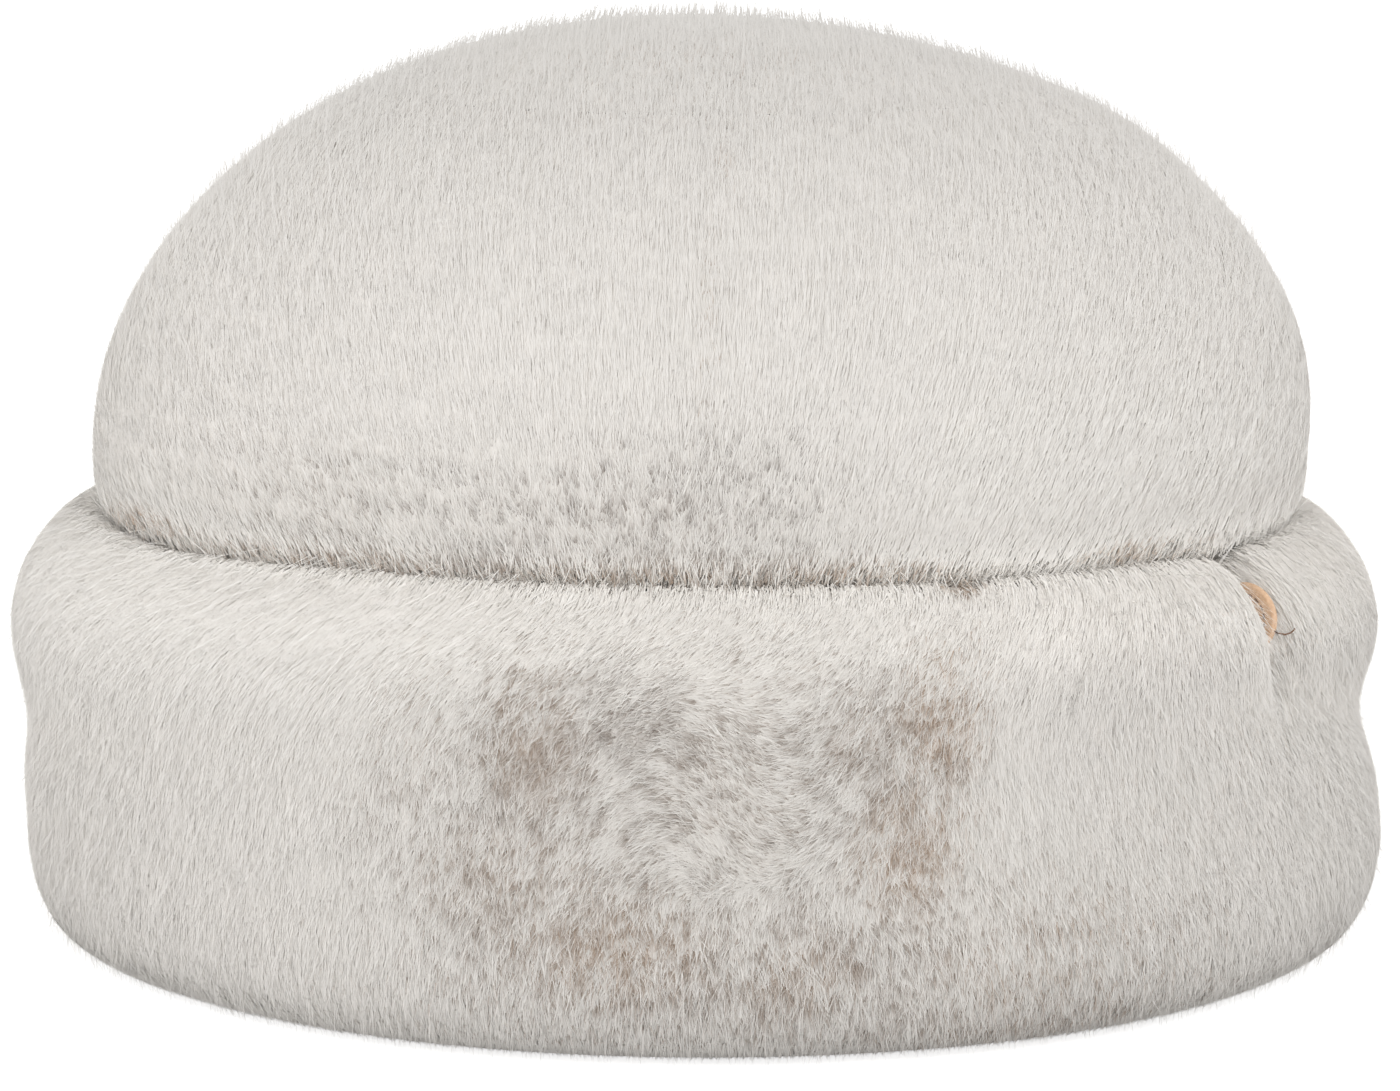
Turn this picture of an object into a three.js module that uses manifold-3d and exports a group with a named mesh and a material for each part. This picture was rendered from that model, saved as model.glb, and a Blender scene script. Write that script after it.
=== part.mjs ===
// Ivory fur hat: a domed crown of two sides and a tip, and a deep turned-up cuff with a small tab.
// Millimetres, +Z up. The front faces -Y and the hat rests at z = 0 on the underside of its cuff.
// Angles run round the hat from the front (0) over the wearer's left side (+X, 90) to the back (180).
import * as THREE from "three";
import { mergeVertices } from "three/addons/utils/BufferGeometryUtils.js";
import Module from "manifold-3d";

const wasm = await Module();
wasm.setup();

// Head opening and height
const HEAD_WIDTH = 176;
const HEAD_DEPTH = 188;
const HAT_HEIGHT = 161;

// Crown: cloth backing, standing pile, and the same pile pressed flat behind the cuff
const BACKING = 2;
const CROWN_PILE = 10;
const PRESSED_PILE = 4;
const CROWN_SPRING = 88;
const CROWN_BULGE = 4.5;
const CROWN_LEAN = 2.5;
const TIP_WIDTH = 112;
const TIP_DEPTH = 100;

// Cuff: a folded fur strip, its lip under the crown, and the groove behind its rolled crest
const CUFF_HEIGHT = 77.5;
const CUFF_THICKNESS = 23.4;
const LIP_HEIGHT = 5;
const LIP_ROUND = 1.5;
const GROOVE_DEPTH = 8;
const FLUFF_HEIGHT = 17;
const PINCH_DEPTH = 2.6;

// Seams
const CUFF_SEAM_ANGLE = 57;
const CUFF_SEAM_WIDTH = 5;
const CUFF_SEAM_DEPTH = 5;
const CUFF_SEAM_DROP = 4;
const SEAM_SINK = 1.8;
const SEAM_GAP = 0.3;
const SEAT_GAP = 0.4;

// Leather tab in the cuff's seam
const LABEL_LENGTH = 12;
const LABEL_REACH = 6;
const LABEL_ROOT = 4;
const LABEL_THICKNESS = 1.6;
const SEAT_SEARCH = 200;
const LABEL_DROP = 5;

// Fur locks
const LOCK_RELIEF = 3.4;
const TIP_RELIEF = 2.2;
const LOWEST_TIP = 0.75;
const CROWN_LOCKS = 40;
const CROWN_LOCK_ROWS = 6;
const TIP_LOCKS = 20;
const TIP_LOCK_ROWS = 3;
const CUFF_LOCKS = 48;
const CUFF_LOCK_ROWS = 6;

// How unlike the locks are: shares of a row, of the relief and of the space between two columns
const LOCK_STAGGER = 0.45;
const LOCK_MARGIN = 0.3;
const LEAST_RISE = 0.65;
const RISE_SPREAD = 0.7;
const RISE_BELOW = 0.6;
const LOCK_SWAY = 0.7;

// Points of one lock, as shares: how far along its row, and how high of the relief
const LOCK_MIDDLE = [
  { along: 0.0, rise: 0.15 },
  { along: 0.55, rise: 0.8 },
  { along: 0.96, rise: 1.0 },
];
const LOCK_EDGE = [
  { along: 0.0, rise: 0.0 },
  { along: 0.4, rise: 0.3 },
  { along: 0.78, rise: 0.25 },
];

// Outer face of the cuff from its flat underside over the crest: shares of height and thickness
const CUFF_SECTION = [
  { height: 0.0, thickness: 0.5 },
  { height: 0.03, thickness: 0.74 },
  { height: 0.1, thickness: 0.91 },
  { height: 0.2, thickness: 0.99 },
  { height: 0.34, thickness: 1.0 },
  { height: 0.48, thickness: 1.0 },
  { height: 0.62, thickness: 1.0 },
  { height: 0.75, thickness: 1.02 },
  { height: 0.85, thickness: 0.95 },
  { height: 0.93, thickness: 0.8 },
  { height: 0.985, thickness: 0.64 },
  { height: 1.0, thickness: 0.52 },
  { height: 0.985, thickness: 0.41 },
];

// Crest of the cuff round the hat: angle, and share of the cuff's height
const CREST_LINE = [
  { angle: -180, height: 1.0 },
  { angle: -100, height: 1.0 },
  { angle: -60, height: 0.975 },
  { angle: -32, height: 1.0 },
  { angle: 0, height: 1.0 },
  { angle: 30, height: 0.99 },
  { angle: 45, height: 0.97 },
  { angle: 55, height: 0.93 },
  { angle: 66, height: 0.965 },
  { angle: 110, height: 0.965 },
  { angle: 180, height: 1.0 },
];

// Soft pinch round the cuff: angle, share of the pinch's depth, share of the cuff's height
const PINCH_LINE = [
  { angle: -180, depth: 0.5, height: 0.5 },
  { angle: -95, depth: 1.0, height: 0.5 },
  { angle: -55, depth: 0.3, height: 0.55 },
  { angle: 0, depth: 0.0, height: 0.6 },
  { angle: 40, depth: 0.1, height: 0.7 },
  { angle: 58, depth: 1.0, height: 0.66 },
  { angle: 95, depth: 1.0, height: 0.49 },
  { angle: 180, depth: 0.5, height: 0.5 },
];
const PINCH_SPREAD = 0.11;

// Shares of the cuff's outer face: the seam is deepest above SEAM_FULL, and the locks lie down
// towards the underside and into the groove
const SEAM_FULL = 0.75;
const FOOT_SHARE = 0.12;
const ROLL_SHARE = 0.3;
const BESIDE_SEAM = 0.3;

// Shares of the way up from the crown's lower edge to the groove, where cuff and crown lie together
const HOLD_STEPS = [0, 0.33, 0.67, 1];
const INSIDE_STEPS = [1, 0.8, 0.6, 0.42, 0.22, 0];
const TIP_INSIDE_STEPS = [0, 0.35, 0.7, 1];

const HALF_WIDTH = HEAD_WIDTH / 2;
const DEPTH_RATIO = HEAD_DEPTH / HEAD_WIDTH;
const CROWN_FOOT = LIP_HEIGHT + SEAT_GAP;
const GROOVE_HEIGHT = CUFF_HEIGHT - GROOVE_DEPTH;
const PRESSED_WALL = BACKING + PRESSED_PILE;
const CROWN_WALL = BACKING + CROWN_PILE;
const SEAT_REACH = PRESSED_WALL + SEAT_GAP;
const DOME_HALF_WIDTH = HALF_WIDTH + CROWN_BULGE;
const DOME_RISE = HAT_HEIGHT - CROWN_WALL - CROWN_SPRING;

const clamp = THREE.MathUtils.clamp;
const smooth = (value) => THREE.MathUtils.smoothstep(value, 0, 1);

// A repeatable share between 0 and 1 for one lock
function scatter(column, row) {
  const wave = Math.sin(column * 12.9898 + row * 78.233) * 43758.5453;
  return wave - Math.floor(wave);
}

// Reads one column of a table that is ordered by angle
function readLine(table, angle, column) {
  const wrapped = THREE.MathUtils.euclideanModulo(angle + 180, 360) - 180;
  let upper = 1;
  while (upper < table.length - 1 && table[upper].angle < wrapped) {
    upper += 1;
  }
  const before = table[upper - 1];
  const after = table[upper];
  const share = smooth((wrapped - before.angle) / (after.angle - before.angle));
  return THREE.MathUtils.lerp(before[column], after[column], share);
}

// A point of the hat: line is the half-width at the backing, reach goes straight out from it
function ovalPoint(line, reach, height, angle) {
  const turn = THREE.MathUtils.degToRad(angle);
  const x = (line + reach) * Math.sin(turn);
  const y = -(line * DEPTH_RATIO + reach) * Math.cos(turn);
  return new THREE.Vector3(x, y, height);
}

// Inside of the crown in section, half-width against height: a swelling wall, then a quarter ellipse
function crownPath() {
  const swell = 0.4 * (CROWN_SPRING - CROWN_FOOT);
  const path = new THREE.CurvePath();
  path.add(new THREE.CubicBezierCurve(
    new THREE.Vector2(HALF_WIDTH, CROWN_FOOT),
    new THREE.Vector2(HALF_WIDTH, CROWN_FOOT + swell),
    new THREE.Vector2(DOME_HALF_WIDTH, CROWN_SPRING - swell),
    new THREE.Vector2(DOME_HALF_WIDTH, CROWN_SPRING),
  ));
  path.add(new THREE.EllipseCurve(0, CROWN_SPRING, DOME_HALF_WIDTH, DOME_RISE, 0, Math.PI / 2));
  return path;
}
const crownInside = crownPath();

// Share of the crown's path at which it reaches a height
function shareAtHeight(height) {
  let low = 0;
  let high = 1;
  for (let step = 0; step < 40; step += 1) {
    const middle = (low + high) / 2;
    if (crownInside.getPoint(middle).y < height) {
      low = middle;
    } else {
      high = middle;
    }
  }
  return (low + high) / 2;
}

// Point of the crown at a share of its path, a distance out along the normal
function crownPoint(share, distance, angle) {
  const point = crownInside.getPoint(share);
  const tangent = crownInside.getTangent(clamp(share, 0.0005, 0.9995));
  const normal = share > 0.9995 ? new THREE.Vector2(0, 1) : new THREE.Vector2(tangent.y, -tangent.x);
  const height = point.y + normal.y * distance;
  const place = ovalPoint(point.x, normal.x * distance, height, angle);
  const domeShare = clamp((point.y - CROWN_SPRING) / DOME_RISE, 0, 1);
  place.x += CROWN_LEAN * Math.sin(Math.PI * domeShare);
  return place;
}

// Where the tip is sewn to the sides: an oval that is wider than the dome's own, as a share of the path
function tipSeamShare(angle) {
  const turn = THREE.MathUtils.degToRad(angle);
  const across = Math.sin(turn) / (TIP_WIDTH / 2);
  const along = (DEPTH_RATIO * Math.cos(turn)) / (TIP_DEPTH / 2);
  const line = 1 / Math.hypot(across, along);
  const height = CROWN_SPRING + DOME_RISE * Math.sqrt(1 - (line / DOME_HALF_WIDTH) ** 2);
  return shareAtHeight(height);
}

// One grid point of a lock; every second column runs down the middle of a lock, staggered row by row
function lockPoint(column, row, step) {
  const middle = (column + row) % 2 === 0;
  const shape = middle ? LOCK_MIDDLE[step] : LOCK_EDGE[step];
  const chance = scatter(column, row);
  return {
    along: row + shape.along + LOCK_STAGGER * (scatter(column, LOCK_STAGGER) - 0.5),
    rise: shape.rise * (LEAST_RISE + RISE_SPREAD * chance) - RISE_BELOW,
    sway: middle && step > 0 ? (scatter(row, column + LOCK_SWAY) - 0.5) * LOCK_SWAY : 0,
  };
}

// All grid points of one column of locks, in order from the first root to the last lock's tip
function lockColumn(column, rows) {
  const points = [];
  for (let row = 0; row < rows; row += 1) {
    for (let step = 0; step < LOCK_MIDDLE.length; step += 1) {
      points.push(lockPoint(column, row, step));
    }
  }
  return points;
}

// Share of the way along all rows, with a little room before the first root and after the last tip
function lockShare(lock, rows) {
  return (lock.along + LOCK_MARGIN) / (rows + 2 * LOCK_MARGIN);
}

// Skins a row of equal loops into one closed body. endsFace is 0 for a ring of loops; otherwise the
// body has two flat ends across x = 0, which face -X or +X.
function skin(loops, endsFace) {
  const count = loops[0].length;
  const positions = loops.flat().flatMap((point) => [point.x, point.y, point.z]);
  const faces = [];
  const spans = endsFace === 0 ? loops.length : loops.length - 1;
  for (let span = 0; span < spans; span += 1) {
    const next = ((span + 1) % loops.length) * count;
    for (let index = 0; index < count; index += 1) {
      const here = span * count + index;
      const above = span * count + ((index + 1) % count);
      const across = next + index;
      const opposite = next + ((index + 1) % count);
      faces.push([here, across, opposite], [here, opposite, above]);
    }
  }
  for (const end of endsFace === 0 ? [] : [0, spans]) {
    const outline = loops[end].map((point) => new THREE.Vector2(point.y, point.z));
    for (const face of THREE.ShapeUtils.triangulateShape(outline, [])) {
      const corners = face.map((index) => index + end * count);
      faces.push(endsFace > 0 ? corners : corners.reverse());
    }
  }
  return closedGeometry(positions, faces.flat());
}

// Merges equal points and drops the faces that have no width
function closedGeometry(positions, index) {
  const raw = new THREE.BufferGeometry();
  raw.setAttribute("position", new THREE.Float32BufferAttribute(positions, 3));
  raw.setIndex(index);
  const merged = mergeVertices(raw, 1e-3);
  const kept = [];
  const all = merged.index.array;
  for (let start = 0; start < all.length; start += 3) {
    const [first, second, third] = [all[start], all[start + 1], all[start + 2]];
    if (first !== second && second !== third && third !== first) {
      kept.push(first, second, third);
    }
  }
  merged.setIndex(kept);
  return merged;
}

// Share of the crown's full pile at a height: 0 where the cuff presses it, 1 well above the groove
function crownFluff(height) {
  return smooth((height - GROOVE_HEIGHT) / FLUFF_HEIGHT);
}

// Section of a crown side at an angle: outside from the lower edge to the tip seam, then back inside
function crownSideLoop(column, angle, atSeam) {
  const grooveShare = shareAtHeight(GROOVE_HEIGHT);
  const seamShare = tipSeamShare(angle);
  const columnStep = 360 / (2 * CROWN_LOCKS);
  const loop = HOLD_STEPS.map((step) => {
    const height = THREE.MathUtils.lerp(CROWN_FOOT, GROOVE_HEIGHT, step);
    return crownPoint(shareAtHeight(height), PRESSED_WALL, angle);
  });
  for (const lock of lockColumn(column, CROWN_LOCK_ROWS)) {
    const share = THREE.MathUtils.lerp(grooveShare, seamShare, lockShare(lock, CROWN_LOCK_ROWS));
    const fluff = crownFluff(crownInside.getPoint(share).y);
    const relief = atSeam ? -SEAM_SINK : lock.rise * LOCK_RELIEF;
    const wall = PRESSED_WALL + (CROWN_PILE - PRESSED_PILE + relief) * fluff;
    const sway = atSeam ? 0 : lock.sway * columnStep;
    loop.push(crownPoint(share, wall, angle + sway));
  }
  loop.push(crownPoint(seamShare, CROWN_WALL - SEAM_SINK, angle));
  for (const step of INSIDE_STEPS) {
    loop.push(crownPoint(seamShare * step, 0, angle));
  }
  return loop;
}

// One half of the crown, from the front seam round to the back seam, half the seam's gap off x = 0
function crownSide(side) {
  const loops = [];
  for (let column = 0; column <= CROWN_LOCKS; column += 1) {
    const angle = side * 180 * (column / CROWN_LOCKS);
    const loop = crownSideLoop(column, angle, column === 0 || column === CROWN_LOCKS);
    const aside = side * (SEAM_GAP / 2) * (1 - Math.abs(Math.sin(THREE.MathUtils.degToRad(angle))));
    loop.forEach((point) => point.setX(point.x + aside));
    loops.push(loop);
  }
  if (side < 0) {
    loops.reverse();
  }
  return skin(loops, -side);
}

// The oval tip: its locks spread from the middle to the seam
function crownTip() {
  const columns = 2 * TIP_LOCKS;
  const edgeGap = SEAM_GAP / crownInside.getLength();
  const loops = [];
  for (let column = 0; column < columns; column += 1) {
    const angle = (360 * column) / columns;
    const edge = tipSeamShare(angle) + edgeGap;
    const loop = TIP_INSIDE_STEPS.map((step) => crownPoint(THREE.MathUtils.lerp(1, edge, step), 0, angle));
    loop.push(crownPoint(edge, CROWN_WALL - SEAM_SINK, angle));
    const outside = lockColumn(column, TIP_LOCK_ROWS).map((lock) => {
      const share = THREE.MathUtils.lerp(1, edge, lockShare(lock, TIP_LOCK_ROWS));
      return crownPoint(share, CROWN_WALL + lock.rise * TIP_RELIEF, angle);
    });
    loop.push(...outside.reverse());
    loop.push(crownPoint(1, CROWN_WALL, angle));
    loops.push(loop);
  }
  return skin(loops, 0);
}

// Columns of the cuff: one in its seam, one just beside it on each side, and the rest evenly round
function cuffColumns() {
  const beside = THREE.MathUtils.radToDeg(CUFF_SEAM_WIDTH / 2 / (HALF_WIDTH + SEAT_REACH + CUFF_THICKNESS));
  const columns = [{ angle: CUFF_SEAM_ANGLE, seam: 1 }];
  for (let column = 0; column <= 2 * CUFF_LOCKS; column += 1) {
    const turn = THREE.MathUtils.lerp(beside, 360 - beside, column / (2 * CUFF_LOCKS));
    const seam = column === 0 || column === 2 * CUFF_LOCKS ? BESIDE_SEAM : 0;
    columns.push({ angle: CUFF_SEAM_ANGLE + turn, seam });
  }
  return columns;
}

// Outer face of the cuff in section at an angle, from the underside over the crest into the groove
function cuffPath(angle, seam) {
  const crest = CUFF_HEIGHT * readLine(CREST_LINE, angle, "height") - CUFF_SEAM_DROP * seam;
  const pinchDepth = PINCH_DEPTH * readLine(PINCH_LINE, angle, "depth");
  const pinchHeight = readLine(PINCH_LINE, angle, "height");
  const points = CUFF_SECTION.map((row) => {
    const pinch = pinchDepth * Math.exp(-(((row.height - pinchHeight) / PINCH_SPREAD) ** 2));
    const pull = CUFF_SEAM_DEPTH * seam * smooth(row.height / SEAM_FULL) * clamp(row.thickness, 0, 1);
    return new THREE.Vector2(SEAT_REACH + CUFF_THICKNESS * row.thickness - pinch - pull, crest * row.height);
  });
  const grooveLine = crownInside.getPoint(shareAtHeight(GROOVE_HEIGHT)).x - HALF_WIDTH;
  points.push(new THREE.Vector2(SEAT_REACH + grooveLine, GROOVE_HEIGHT));
  return new THREE.SplineCurve(points);
}

// Section of the cuff at one column: fur outside, then down the crown, round the lip and its underside
function cuffLoop(column, angle, seam) {
  const path = cuffPath(angle, seam);
  const columnStep = 360 / (2 * CUFF_LOCKS);
  const outside = lockColumn(column, CUFF_LOCK_ROWS).map((lock) => {
    const share = 1 - lockShare(lock, CUFF_LOCK_ROWS);
    const point = path.getPointAt(share);
    const tangent = path.getTangentAt(share);
    const ease = seam > 0 ? 0 : smooth((1 - share) / ROLL_SHARE) * smooth(share / FOOT_SHARE);
    const relief = LOCK_RELIEF * lock.rise * ease;
    const height = Math.max(point.y - tangent.x * relief, LOWEST_TIP);
    const sway = lock.sway * columnStep * ease;
    return ovalPoint(HALF_WIDTH, point.x + tangent.y * relief, height, angle + sway);
  });
  const foot = path.getPointAt(0);
  const loop = [ovalPoint(HALF_WIDTH, foot.x, 0, angle), ...outside.reverse()];
  for (const step of [...HOLD_STEPS].reverse()) {
    const height = THREE.MathUtils.lerp(CROWN_FOOT, GROOVE_HEIGHT, step);
    const line = crownInside.getPoint(shareAtHeight(height)).x;
    loop.push(ovalPoint(line, SEAT_REACH, step === 0 ? LIP_HEIGHT : height, angle));
  }
  loop.push(ovalPoint(HALF_WIDTH, 0, LIP_HEIGHT, angle));
  loop.push(ovalPoint(HALF_WIDTH, 0, LIP_ROUND, angle));
  loop.push(ovalPoint(HALF_WIDTH, LIP_ROUND, 0, angle));
  return loop;
}

function cuffRing() {
  const loops = cuffColumns().map((place, index) => cuffLoop(index + 1, place.angle, place.seam));
  return skin(loops, 0);
}

// Where the tab leaves the cuff: on the outer face of the seam, a little below its crest
function labelSeat() {
  const points = cuffPath(CUFF_SEAM_ANGLE, 1).getSpacedPoints(SEAT_SEARCH);
  const crest = Math.max(...points.map((point) => point.y));
  const crestIndex = points.findIndex((point) => point.y === crest);
  const outside = points.slice(0, crestIndex + 1);
  return outside.find((point) => point.y >= crest - LABEL_DROP);
}

// Outline of the tab, or of its slot with a clearance: half an oval outside, a straight root inside
function labelShape(clearance) {
  const half = LABEL_LENGTH / 2 + clearance;
  const shape = new THREE.Shape();
  shape.moveTo(-LABEL_ROOT - clearance, -half);
  shape.lineTo(0, -half);
  shape.absellipse(0, 0, LABEL_REACH + clearance, half, -Math.PI / 2, Math.PI / 2);
  shape.lineTo(-LABEL_ROOT - clearance, half);
  return shape;
}

// The tab stands in the upright plane of the seam
function labelGeometry(clearance) {
  const thickness = LABEL_THICKNESS + 2 * clearance;
  const geometry = new THREE.ExtrudeGeometry(labelShape(clearance), {
    depth: thickness,
    bevelEnabled: false,
    curveSegments: 10,
  });
  geometry.translate(0, 0, -thickness / 2);
  geometry.rotateX(Math.PI / 2);
  const seat = labelSeat();
  const place = ovalPoint(HALF_WIDTH, seat.x, seat.y, CUFF_SEAM_ANGLE);
  geometry.rotateZ(Math.atan2(place.y, place.x));
  geometry.translate(place.x, place.y, place.z);
  geometry.deleteAttribute("normal");
  geometry.deleteAttribute("uv");
  return mergeVertices(geometry, 1e-3);
}

function toManifold(geometry) {
  return new wasm.Manifold(new wasm.Mesh({
    numProp: 3,
    vertProperties: new Float32Array(geometry.attributes.position.array),
    triVerts: new Uint32Array(geometry.index.array),
  }));
}

function fromManifold(solid) {
  const mesh = solid.getMesh();
  return closedGeometry([...mesh.vertProperties], [...mesh.triVerts]);
}

function piece(name, geometry, colour, roughness) {
  geometry.computeVertexNormals();
  const material = new THREE.MeshStandardMaterial({ color: colour, roughness, metalness: 0 });
  const mesh = new THREE.Mesh(geometry, material);
  mesh.name = name;
  return mesh;
}

const FUR_COLOUR = 0xe4e0d9;
const LABEL_COLOUR = 0xcda07d;
const FUR_ROUGHNESS = 0.95;
const LABEL_ROUGHNESS = 0.6;

const cuffWithSlot = fromManifold(toManifold(cuffRing()).subtract(toManifold(labelGeometry(SEAT_GAP))));

const hat = new THREE.Group();
hat.add(piece("crown_side_left", crownSide(1), FUR_COLOUR, FUR_ROUGHNESS));
hat.add(piece("crown_side_right", crownSide(-1), FUR_COLOUR, FUR_ROUGHNESS));
hat.add(piece("crown_tip", crownTip(), FUR_COLOUR, FUR_ROUGHNESS));
hat.add(piece("cuff", cuffWithSlot, FUR_COLOUR, FUR_ROUGHNESS));
hat.add(piece("label", labelGeometry(0), LABEL_COLOUR, LABEL_ROUGHNESS));

export default hat;
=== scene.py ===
import math

import bpy
import numpy as np
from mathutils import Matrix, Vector


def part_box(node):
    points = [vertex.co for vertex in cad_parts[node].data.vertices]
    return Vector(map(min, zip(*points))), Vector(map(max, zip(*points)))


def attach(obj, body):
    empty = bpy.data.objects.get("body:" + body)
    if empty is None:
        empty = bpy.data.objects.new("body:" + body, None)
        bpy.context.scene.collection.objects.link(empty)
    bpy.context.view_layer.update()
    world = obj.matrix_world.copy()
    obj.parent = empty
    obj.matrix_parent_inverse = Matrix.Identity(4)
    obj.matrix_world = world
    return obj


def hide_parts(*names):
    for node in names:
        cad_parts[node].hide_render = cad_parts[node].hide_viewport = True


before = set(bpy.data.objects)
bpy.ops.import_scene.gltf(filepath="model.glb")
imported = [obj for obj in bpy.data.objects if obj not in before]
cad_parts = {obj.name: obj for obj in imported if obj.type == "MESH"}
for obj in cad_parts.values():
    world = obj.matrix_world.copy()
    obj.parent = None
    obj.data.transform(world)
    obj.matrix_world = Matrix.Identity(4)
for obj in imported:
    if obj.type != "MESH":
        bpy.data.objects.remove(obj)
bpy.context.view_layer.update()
bpy.ops.object.select_all(action="DESELECT")

# Crown sides. Two panels of woven backing with a dense ivory pile, sewn together down the front and
# the back. Each pelt is a closed section spun round half the head, and its fur is grown on it.
MM = 0.001
side_low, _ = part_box("crown_side_left")
_, tip_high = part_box("crown_tip")
_, cuff_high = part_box("cuff")
HEAD_HALF_WIDTH = 88 * MM
CROWN_FOOT = side_low.z
CROWN_SPRING = 88 * MM
CROWN_BULGE = 4.5 * MM
CROWN_LEAN = 2.5 * MM
RIGHT_FULLNESS = 1.8 * MM
LEFT_SHOULDER = 0.042
RIGHT_SHOULDER = 0.02
SHOULDER_HEIGHT = 0.82
SHOULDER_SPREAD = 0.15
TOP_SLANT = 0.012
TOP_START = 0.72
TOP_RUN = 0.28
CROWN_DEPTH_RATIO = 1.063
CROWN_WALL = 14 * MM
PRESSED_WALL = 5 * MM
GROOVE_HEIGHT = cuff_high.z - 8.4 * MM
FLUFF_HEIGHT = 14 * MM
FUR_TOP = tip_high.z - 0.7 * MM
FUR_DEPTH = 0.7 * MM
DOME_HALF_WIDTH = HEAD_HALF_WIDTH + CROWN_BULGE
DOME_RISE = FUR_TOP - CROWN_WALL - CROWN_SPRING
TIP_SEAM_SHARE = 0.615
SIDE_STEPS = 72


def smooth(value):
    """Eases 0 to 1, for one number or a whole array."""
    held = np.clip(value, 0.0, 1.0)
    return held * held * (3.0 - 2.0 * held)


def unit(vectors):
    """The same ways, one row each, at length one."""
    return vectors / np.maximum(np.linalg.norm(vectors, axis=1, keepdims=True), 1e-9)


def crown_line(first, last, points, wall):
    """Half-section of the crown: shares -1 to 0 climb its wall and 0 to 1 its dome. The line stands
    outside by the given wall, which is pressed thin below the groove and fluffs out above it."""
    share = np.linspace(first, last, points)
    climb = np.clip(share + 1, 0, 1)
    swell = smooth(climb)
    radius = HEAD_HALF_WIDTH + CROWN_BULGE * swell
    height = CROWN_FOOT + (CROWN_SPRING - CROWN_FOOT) * climb
    turn = np.clip(share, 0, 1) * math.pi / 2
    radius = np.where(share > 0, DOME_HALF_WIDTH * np.cos(turn), radius)
    height = np.where(share > 0, CROWN_SPRING + DOME_RISE * np.sin(turn), height)
    across = np.where(share > 0, np.cos(turn) / DOME_HALF_WIDTH, 1.0)
    upward = np.where(share > 0, np.sin(turn) / DOME_RISE, 0.0)
    length = np.hypot(across, upward)
    if wall > PRESSED_WALL:
        wall = PRESSED_WALL + (wall - PRESSED_WALL) * smooth((height - GROOVE_HEIGHT) / FLUFF_HEIGHT)
    return list(zip(radius + across / length * wall, height + upward / length * wall))


def spin_pelt(name, section, turn, steps):
    """Spins a closed section of (radius, height) points round Z into one closed skin."""
    bpy.ops.mesh.primitive_circle_add(vertices=len(section), radius=0.1, location=(0, 0, 0))
    pelt = bpy.context.object
    pelt.name = name
    for vertex, (radius, height) in zip(pelt.data.vertices, section):
        vertex.co = (0.0, -radius, height)
    bpy.ops.object.mode_set(mode="EDIT")
    bpy.ops.mesh.select_all(action="SELECT")
    bpy.ops.mesh.spin(steps=steps, angle=turn, center=(0, 0, 0), axis=(0, 0, 1), dupli=False)
    bpy.ops.mesh.select_all(action="SELECT")
    bpy.ops.mesh.remove_doubles(threshold=0.01 * MM)
    bpy.ops.mesh.select_all(action="DESELECT")
    bpy.ops.mesh.select_non_manifold()
    if abs(turn) < 2 * math.pi - 0.01:
        bpy.ops.mesh.edge_face_add()
    bpy.ops.mesh.select_all(action="SELECT")
    bpy.ops.mesh.normals_make_consistent(inside=False)
    bpy.ops.object.mode_set(mode="OBJECT")
    bpy.ops.object.shade_smooth_by_angle(angle=math.radians(50))
    pelt.select_set(False)
    return pelt


def read_points(mesh):
    """The mesh's vertex places, one row each."""
    places = np.zeros(len(mesh.vertices) * 3)
    mesh.vertices.foreach_get("co", places)
    return places.reshape(-1, 3)


def write_points(mesh, places):
    mesh.vertices.foreach_set("co", places.ravel())
    mesh.update()


def shape_crown(pelt):
    """Makes a spun crown piece oval. The dome leans a little to the wearer's left, keeps its fullness
    on the right, has soft shoulders and slants down to the left on top."""
    places = read_points(pelt.data)
    dome = np.clip((places[:, 2] - CROWN_SPRING) / (FUR_TOP - CROWN_SPRING), 0, 1)
    right = np.clip(-places[:, 0] / DOME_HALF_WIDTH, 0, 1)
    shoulder = np.where(places[:, 0] > 0, LEFT_SHOULDER, RIGHT_SHOULDER)
    places[:, 0] *= 1 + shoulder * np.exp(-(((dome - SHOULDER_HEIGHT) / SHOULDER_SPREAD) ** 2))
    places[:, 0] += (CROWN_LEAN - RIGHT_FULLNESS * right) * np.sin(math.pi * dome)
    places[:, 1] *= CROWN_DEPTH_RATIO
    places[:, 2] -= TOP_SLANT * places[:, 0] * smooth((dome - TOP_START) / TOP_RUN)
    write_points(pelt.data, places)


def crown_outward(places):
    """Which way the crown's outer face looks at each place."""
    rise = np.clip(places[:, 2] - CROWN_SPRING, 0, None)
    lean = CROWN_LEAN * np.sin(math.pi * np.clip(rise / (FUR_TOP - CROWN_SPRING), 0, 1))
    half_width = DOME_HALF_WIDTH + CROWN_WALL
    across = (places[:, 0] - lean) / half_width**2
    along = places[:, 1] / (half_width * CROWN_DEPTH_RATIO) ** 2
    return unit(np.stack([across, along, rise / (DOME_RISE + CROWN_WALL) ** 2], axis=1))


def make_crown_side(name, turn):
    outer = crown_line(-1, TIP_SEAM_SHARE, 34, CROWN_WALL - FUR_DEPTH)
    inner = crown_line(-1, TIP_SEAM_SHARE, 18, 0)
    pelt = spin_pelt(name, outer + inner[::-1], turn, SIDE_STEPS)
    shape_crown(pelt)
    return pelt


left_pelt = make_crown_side("crown_pelt_left", math.pi)
right_pelt = make_crown_side("crown_pelt_right", -math.pi)


CELL_MIX = (73856093, 19349663, 83492791)
SALT_MIX = 2654435761
LAST_MIX = 1274126177


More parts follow.
